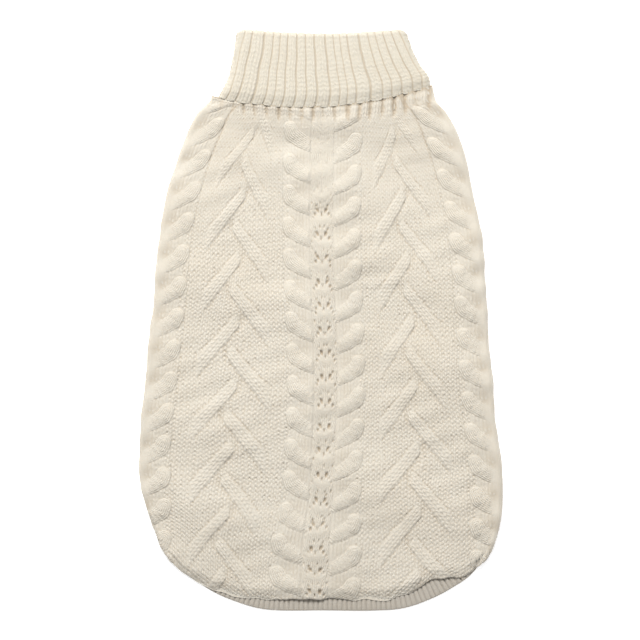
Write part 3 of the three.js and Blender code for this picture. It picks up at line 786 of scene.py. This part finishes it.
def makeBackPanel():
    upper = np.arange(body["neckY"] + body["underCuff"], body["tailY"], -back["rowStep"])
    lower = np.arange(upper[-1] - back["tailRowStep"], body["hemY"], -back["tailRowStep"])
    y = np.concatenate([upper, lower, [body["hemY"]]])
    one, zero = np.ones((len(y), 1)), np.zeros((len(y), 1))
    centre = (middleX(y)[:, None], upperFace(y)[:, None], zero, one, one, one)
    left, right = halfBack(y, -1), halfBack(y, 1)
    x, z, nx, nz, stand, lip = [
        np.concatenate([a, c, b[:, ::-1]], axis=1) for a, c, b in zip(left, centre, right)
    ]
    rows = y[:, None] * np.ones_like(x)
    atY = rowY(rows, x)
    rise, stitch, relief, shadeTone = backRelief(x, atY, rows, stand)
    # under the sides the stitches only sink in, so the cloth still lies on the table
    onTable = 1 - smooth((z - lift(rows)) / 1.2)
    out = rise + (stitch - back["sinkOnTable"] * onTable) + relief
    bulge = np.where(nx > 0, back["bulgeRight"], back["bulgeLeft"])
    out = out + bulge * np.abs(nx) * (1 - onTable)
    fromHem = rows - body["hemY"]
    uneven = back["hemUneven"] * ripple(x, 0 * x, 25, 15) * smooth(1 - fromHem / 9) * (stand > 0.9)
    lowerLip = back["hemLip"] * smooth(1 - fromHem / 7) * lip

    def face(moved, drop):
        faceX = x + nx * moved
        return np.stack([faceX, rowY(rows, faceX) + uneven, z + nz * moved - drop], axis=-1)

    outer, inner = face(out, lowerLip), face(-body["wall"], 0.25 * lowerLip)
    outer[..., 2] = np.maximum(outer[..., 2], 0)
    grids = (outer, inner, gridNormals(outer), np.stack([-nx, 0 * nx, -nz], axis=-1), shadeTone)
    base = np.stack([x, atY, z], axis=-1)
    side, field = back["underColumns"] + back["foldColumns"] + back["edgeColumns"], back["fieldColumns"]
    middle = 2 * (back["cableColumns"] + back["laceColumns"])
    cuts = np.cumsum([0, side, field, middle, field, side])
    for number, (name, flat) in enumerate(back["strips"]):
        part = slice(cuts[number], cuts[number + 1] + 1)
        piece = clothShell(name, *[grid[:, part] for grid in grids])
        finishPiece(piece, "back_panel", knitCream)
        cut = base[:, part]
        cell = np.cross(cut[1:, 1:] - cut[:-1, :-1], cut[1:, :-1] - cut[:-1, 1:])
        area = float(np.linalg.norm(cell, axis=2).sum() / 2)
        print("  ", name, "cut area", round(area), "square mm, faces", len(piece.data.polygons))
        area = min(area * 1e-6, flat[0] * flat[1])


# Collar: a ribbed tube folded down over itself once

def collarKeys(cuffOffset, foldY):
    # offset, height, dip, rib share, tilt, facing (-1 in, 1 out), rings on to the next key
    seamY, edgeY, dip = collar["seamY"], collar["cuffEdgeY"], body["neckDip"]
    topDip, cuffDip, tilt = collar["topDip"], collar["cuffDip"], collar["cuffTilt"]
    wall, neckFace = collar["wall"], collar["wall"] - collar["neckThin"]
    cuffInside, cuffThin = collar["wall"] + collar["cuffGap"], cuffOffset - collar["edgeThin"]
    return [
        # up the inside and over the fold
        (0, seamY, dip, 0, 0, -1, 6), (0, 158, dip * 0.5, 0, 0, -1, 8),
        (0, foldY - 4, topDip, 0.3, 0, -1, 6), (0, foldY, topDip, 0.5, 0, -1, 16),
        # down the cuff and round its edge
        (cuffOffset, foldY, topDip, 1, 0, 1, 32), (cuffOffset, 162, topDip + 2, 1, tilt * 0.5, 1, 28),
        (cuffOffset, edgeY + 8, cuffDip * 0.8, 1, tilt, 1, 6),
        (cuffOffset - 0.3, edgeY + 5, cuffDip * 0.9, 1, tilt, 1, 8),
        (cuffThin, edgeY + 0.9, cuffDip, 1, tilt, 1, 4),
        (cuffInside + 0.3, edgeY - 0.1, cuffDip, 0.5, tilt, 1, 2),
        (cuffInside, edgeY + 0.6, cuffDip, 0, tilt, -1, 6),
        # up between cuff and neck, and down the neck to its seam
        (cuffInside, foldY - 1, topDip, 0, 0, -1, 2), (wall, foldY - 1, topDip, 0, 0, 1, 6),
        (wall, 149, dip * 0.8, 0.4, 0, 1, 10), (neckFace, seamY + 6, dip, 0.4, 0, 1, 8),
        (neckFace, seamY, dip, 0.4, 0, 1, 3),
    ]


def makeCollar():
    cuffOffset = 2 * collar["wall"] + collar["cuffGap"]
    foldRadius = cuffOffset / 2
    foldY, edgeY = collar["topY"] - foldRadius, collar["cuffEdgeY"]
    centreZ = collar["hollow"] + cuffOffset + 0.45 * collar["ribRise"]
    keys = collarKeys(cuffOffset, foldY)
    perRib, across = collar["pointsPerRib"], collar["ribsAcross"]
    flatCount, endCount = across * perRib, collar["ribsAtEnd"] * perRib
    flat = (np.arange(flatCount) + 0.5) / flatCount
    turn = (np.arange(endCount) + 0.5) / endCount
    ribs = 2 * (across + collar["ribsAtEnd"])
    places, nxs, nzs = [], [], []
    for sign in (1, -1):
        places += [sign * (2 * flat - 1), np.full(endCount, float(sign))]
        nxs += [np.zeros(flatCount), sign * np.sin(np.pi * turn)]
        nzs += [np.full(flatCount, float(sign)), sign * np.cos(np.pi * turn)]
    place, nx, nz = [np.concatenate(part) for part in (places, nxs, nzs)]

    def ribCount(straight):
        # ribs run straight from fold to edge, so some turn over the sides where the neck is narrow
        face = across * (1 + straight * (2 * flat - 1)) / 2
        side = across * (1 + straight) / 2 + turn * (ribs / 2 - across * straight)
        count = np.concatenate([face, side, ribs / 2 + face, ribs / 2 + side])
        uneven = 0.16 * np.sin(2 * np.pi * 7 * count / ribs + 1)
        return count + (uneven + 0.12 * np.sin(2 * np.pi * 11 * count / ribs))

    rings, shadeTones = [], []
    for number, key in enumerate(keys):
        after = keys[(number + 1) % len(keys)]
        turning = key[1] == foldY and key[0] == 0
        for step in range(key[6]):
            t = step / key[6]
            offset, y, dip, share, tilt = [a + (b - a) * t for a, b in zip(key[:5], after[:5])]
            outward, upward = float(key[5]), 0.0
            if turning:
                outward, upward = -math.cos(math.pi * t), math.sin(math.pi * t)
                offset, y = foldRadius + foldRadius * outward, foldY + foldRadius * upward
            radius = collar["hollow"] + offset
            middle, half = [readTable(collar["outline"], k, np.array([y]))[0] for k in (1, 2)]
            half = half - radius - (cuffOffset - offset) * 0.9

            wider = np.clip((foldY - y) / (foldY - edgeY), 0, 1)
            straightHalf = collar["foldHalf"] + (collar["edgeHalf"] - collar["foldHalf"]) * wider
            rib = ribCount(half / straightHalf)
            f = (rib - collar["grooveAt"] + 0.05 * ripple(rib, 0 * rib + y, 31, 14)) % 1
            groove = ribGroove(f, collar["grooveHalf"])
            crown = 1 - np.abs((f - 0.5) / 0.5) ** 5
            course = y / collar["course"] + 0.3 * ripple(rib * 7, 0 * rib + y, 33, 16)
            knit = knitStitch(f * 2, course, collar["cut"])
            ribHeight = collar["ribRise"] * (0.2 + 0.25 * crown - 0.8 * groove)
            moved = share * (ribHeight + collar["stitch"] * (knit - 0.5) * (1 - groove))

            out = radius + moved * outward
            px = middle + place * half + nx * out
            fromCorner = np.abs(px - middle) - (half + radius - collar["cornerWidth"])
            corner = collar["cornerDrop"] * np.clip(fromCorner / collar["cornerWidth"], 0, 1) ** 2
            nearFold = float(smooth((y - foldY + 8) / 8))
            nearEdge = smooth((edgeY + 3 - y) / 3) if offset > 2.4 and not turning else 0.0
            wave = collar["scallop"] * ripple(px, 0 * px, 34, collar["scallopWave"])
            scallop = nearEdge * (collar["scallop"] * (crown - groove) + wave - 0.3)
            py = y - dip * neckCurve(px) + tilt * px + moved * upward - corner * nearFold - scallop
            rings.append(np.stack([px, py, np.maximum(centreZ + nz * out, 0)], axis=-1))
            # painted shade: the rib grooves, and the neck face just under the cuff's lip, are darker
            shaded = float(smooth((edgeY + 1 - y) / 3)) if 1 < offset < 2.5 and outward > 0 else 0.0
            shadeTones.append(np.clip(1 - 0.7 * groove - 0.25 * shaded, 0, 1) * (0.8 + 0.2 * knit))
    piece = loopShell("collar_knit", np.array(rings), np.array(shadeTones))
    finishPiece(piece, "collar", ribCream)


# Hem band: one narrow ribbed strip round the tail and across the belly's lower edge

hemBand = {
    "half": 6.1, "thickness": 2.0, "ribPitch": 3.0, "ribRise": 0.8, "underSink": 0.3,
    "step": 0.45, "across": 22,
    "line": [
        (-94, -124), (-91, -138), (-80.5, -151.5), (-65.2, -162.9), (-50.4, -169.5), (-34, -174),
        (4, -174.7), (34, -174.8), (51, -173.4), (69, -167), (80, -161), (89, -154.8), (95.5, -146.5),
        (99, -134), (97, -124), (90, -118.6), (78, -117), (0, -116.7), (-75, -117), (-87, -118.6),
    ],
    "flat": (0.462, 0.0122),
}


def closedCurve(points, step):
    # centripetal spline through the points, then even steps along it
    points = np.asarray(points, float)
    count, dense = len(points), []
    for i in range(count):
        p = [points[(i + k - 1) % count] for k in range(4)]
        d = [max(np.linalg.norm(p[k + 1] - p[k]) ** 0.5, 1e-6) for k in range(3)]
        m1 = ((p[1] - p[0]) / d[0] - (p[2] - p[0]) / (d[0] + d[1]) + (p[2] - p[1]) / d[1]) * d[1]
        m2 = ((p[2] - p[1]) / d[1] - (p[3] - p[1]) / (d[1] + d[2]) + (p[3] - p[2]) / d[2]) * d[1]
        for t in np.linspace(0, 1, 60, endpoint=False):
            dense.append(hermite(t, p[1], m1, p[2], m2))
    dense = np.array(dense + [dense[0]])
    length = np.concatenate([[0], np.cumsum(np.linalg.norm(np.diff(dense, axis=0), axis=1))])
    steps = int(length[-1] / step)
    at = np.linspace(0, length[-1], steps, endpoint=False)
    return np.stack([np.interp(at, length, dense[:, k]) for k in range(2)], axis=-1), length[-1]


def bandPiece(name, points, band):
    # a flat rounded strip along a closed line, ribbed across on both faces; returns its length too
    line, length = closedCurve(points, band["step"])
    ways = np.roll(line, -1, axis=0) - np.roll(line, 1, axis=0)
    ways /= np.linalg.norm(ways, axis=1, keepdims=True)
    normal = np.stack([ways[:, 1], -ways[:, 0]], axis=-1)
    f = np.arange(len(line)) / len(line) * round(length / band["ribPitch"]) % 1
    groove = ribGroove(f, 0.16)
    rings, shadeTones = [], []
    count, half, thickness = band["across"], band["half"], band["thickness"]
    for face in (1, -1):
        for k in range(count):
            place = face * (-1 + 2 * (k + 0.5) / count)
            rounded = math.sqrt(max(0.0, 1 - abs(place) ** 5))
            knit = knitStitch(f * 2, place * half / 2.3 + 0 * f)
            if face > 0:
                z = thickness * (0.45 + 0.55 * rounded) - band["ribRise"] * groove * rounded
                z = z + 0.22 * (knit - 0.8)
            else:
                sunk = band["underSink"] * groove + 0.12 * (1 - knit)
                z = thickness * 0.45 * (1 - rounded) + sunk * rounded
            ring = line + normal * (place * (half - 0.15))
            rings.append(np.concatenate([ring, np.clip(z, 0, 9)[:, None]], axis=1))
            # painted shade in the rib grooves and between the stitches
            shadeTones.append(np.clip(1 - 0.6 * groove, 0, 1) * (0.7 + 0.3 * knit))
    return loopShell(name, np.array(rings), np.array(shadeTones)), length


def makeHemBand():
    piece, length = bandPiece("hem_band_knit", hemBand["line"], hemBand)
    finishPiece(piece, "hem_band", bandCreamInShade)
    print("   hem band length", round(length), "mm")


# Belly panel and its two leg bands, all on the underside

belly = {
    "cell": 1.5, "width": 206, "length": 246, "shadeTone": 0.8,
    "legX": 50.0, "legY": 83.0, "legHalfWidth": 19.3, "legHalfLength": 27.3,
    "flat": (0.206, 0.246), "area": 0.0405,
}
legBand = {
    "half": 3.15, "thickness": 2.0, "ribPitch": 3.4, "ribRise": 0.4, "underSink": 0.35,
    "across": 12, "step": 0.7,
}


def makeBellyPanel():
    columns, rows = int(belly["width"] / belly["cell"]), int(belly["length"] / belly["cell"])
    wide, long = belly["legHalfWidth"], belly["legHalfLength"]
    y = np.linspace(body["neckY"], body["bellyHemY"], rows)[:, None]
    reach = body["turnUnder"] + body["seamGap"]
    left = -readTable(body["outline"], 1, y) + reach
    right = readTable(body["outline"], 2, y) - reach
    x = left + (right - left) * np.linspace(0, 1, columns)[None, :]
    z = lift(y) + 0 * x
    y = y - body["neckDip"] * nearNeck(y) * neckCurve(x)
    # points near a leg opening's rim move onto it, and the cells inside are left out
    keep = np.ones_like(x, bool)
    for legX in (-belly["legX"], belly["legX"]):
        away = np.sqrt(((x - legX) / wide) ** 2 + ((y - belly["legY"]) / long) ** 2)
        near = np.abs(away - 1) < 0.6 * belly["cell"] / wide
        scale = np.where(near, 1 / np.maximum(away, 1e-6), 1)
        x, y = legX + (x - legX) * scale, belly["legY"] + (y - belly["legY"]) * scale
        keep &= ~((away < 1) & ~near)
    whole = np.all(corners(keep), axis=0)
    for legX in (-belly["legX"], belly["legX"]):
        middleOfX, middleOfY = sum(corners(x)) / 4 - legX, sum(corners(y)) / 4 - belly["legY"]
        whole &= (middleOfX / wide) ** 2 + (middleOfY / long) ** 2 >= 1
    count = x.size
    quads = np.stack(corners(np.arange(count).reshape(x.shape)), axis=-1)[whole]
    edges = {(a, b): True for quad in quads.tolist() for a, b in zip(quad, quad[1:] + quad[:1])}
    faces = (quads + count).tolist() + quads[:, ::-1].tolist()
    faces += [(b + count, a + count, a, b) for a, b in edges if (b, a) not in edges]
    low = np.stack([x, y, z], axis=-1).reshape(-1, 3)
    points = np.concatenate([low, low + np.array([0, 0, body["wall"]])])
    used = np.unique(np.array([v for face in faces for v in face]))
    number = np.full(len(points), -1)
    number[used] = np.arange(len(used))
    faces = [[int(number[v]) for v in face] for face in faces]
    piece = newPiece("belly_panel_knit", points[used], faces, None, np.full(len(used), belly["shadeTone"]))
    finishPiece(piece, "belly_panel", plainKnit)
    bands = [makeLegBand("left", -belly["legX"]), makeLegBand("right", belly["legX"])]


def makeLegBand(name, legX):
    inset = body["seamGap"] + legBand["half"]
    a, b = belly["legHalfWidth"] - inset, belly["legHalfLength"] - inset
    angle = np.linspace(0, 2 * np.pi, 40, endpoint=False)
    points = np.stack([legX + a * np.cos(angle), belly["legY"] + b * np.sin(angle)], axis=-1)
    piece, _ = bandPiece("leg_band_" + name + "_knit", points, legBand)
    return finishPiece(piece, "leg_band_" + name, ribCream)


# in metres, and the slant in radians
plainStitch = {"width": 0.0033, "height": 0.0027, "slant": 3.6, "relief": 0.0007}


def plainKnitMaterial():
    # the belly's plain knit is drawn in relief by its own columns and rows of stitches
    material, shader = yarnMaterial("plainKnit", yarn["cream"], yarn["creamShadeColour"])
    tree = material.node_tree
    split = tree.nodes.new("ShaderNodeSeparateXYZ")
    tree.links.new(newNode(tree, "TexCoord", {}, "Object"), split.inputs["Vector"])

    def work(kind, *values):
        return newNode(tree, "Math", dict(enumerate(values)), operation=kind)

    wale = work("FRACT", work("MULTIPLY", split.outputs["X"], 1 / plainStitch["width"]))
    side = work("ABSOLUTE", work("SUBTRACT", work("MULTIPLY", wale, 2.0), 1.0))
    leg = work("SINE", work("MULTIPLY", side, math.pi))
    course = work("MULTIPLY", split.outputs["Y"], 2 * math.pi / plainStitch["height"])
    phase = work("SUBTRACT", course, work("MULTIPLY", side, plainStitch["slant"]))
    segment = work("ADD", work("MULTIPLY", work("COSINE", phase), 0.3), 0.7)
    fibres = shader.inputs["Normal"].links[0].from_socket
    relief = {"Height": work("MULTIPLY", leg, segment), "Distance": plainStitch["relief"], "Normal": fibres}
    tree.links.new(newNode(tree, "Bump", {"Strength": 1.0, **relief}), shader.inputs["Normal"])
    return material


plainKnit = plainKnitMaterial()


# Studio: camera straight above, a large soft light from the upper left, a white floor

studio = {
    "cameraHeight": 2.5, "clothHeight": 0.006, "sensor": 36, "frameWidth": 640 * 0.62 * mm,
    "key": {"place": (-0.25, 1.05, 1.35), "size": 0.7, "power": 60.0},
    "fill": {"place": (0.5, -0.9, 1.7), "size": 1.6, "power": 4.0},
    "sky": 0.56, "floorHalf": 6.0, "floorDrop": 0.0002,
    "paper": {
        "Base Color": (0.97, 0.97, 0.97, 1), "Roughness": 0.9,
        "Emission Color": (1, 1, 1, 1), "Emission Strength": 0.45,
    },
}


def makeStudio():
    scene = bpy.context.scene
    camera = addObject("camera", bpy.data.cameras.new("camera"))
    camera.data.sensor_width = studio["sensor"]
    toCloth = studio["cameraHeight"] - studio["clothHeight"]
    camera.data.lens = studio["sensor"] * toCloth / studio["frameWidth"]
    camera.data.clip_end = 20
    camera.location = (shift[0] * mm, shift[1] * mm, studio["cameraHeight"])
    scene.camera = camera
    for name in ("key", "fill"):
        values = studio[name]
        light = bpy.data.lights.new(name, "AREA")
        light.shape = "DISK"
        light.size = values["size"]
        light.energy = values["power"]
        lamp = addObject(name, light)
        lamp.location = values["place"]
        aim = -np.array(values["place"])
        tilt = math.atan2(math.hypot(aim[0], aim[1]), -aim[2])
        lamp.rotation_euler = (tilt, 0, math.atan2(aim[1], aim[0]) - math.pi / 2)
    world = bpy.data.worlds.new("studio")
    world.use_nodes = True
    sky = world.node_tree.nodes["Background"]
    sky.inputs["Color"].default_value = (1, 1, 1, 1)
    sky.inputs["Strength"].default_value = studio["sky"]
    scene.world = world
    scene.view_settings.view_transform = "Standard"
    half = studio["floorHalf"]
    square = [(-half, -half, 0), (half, -half, 0), (half, half, 0), (-half, half, 0)]
    mesh = bpy.data.meshes.new("floor")
    mesh.from_pydata(square, [], [(0, 1, 2, 3)])
    floor = addObject("floor", mesh)
    floor.location.z = -studio["floorDrop"]
    floor.data.materials.append(newMaterial("whitePaper", studio["paper"])[0])


print("camera, lights and floor")
makeStudio()
print("back panel")
makeBackPanel()
print("collar")
makeCollar()
print("hem band")
makeHemBand()
print("belly panel and leg bands")
makeBellyPanel()
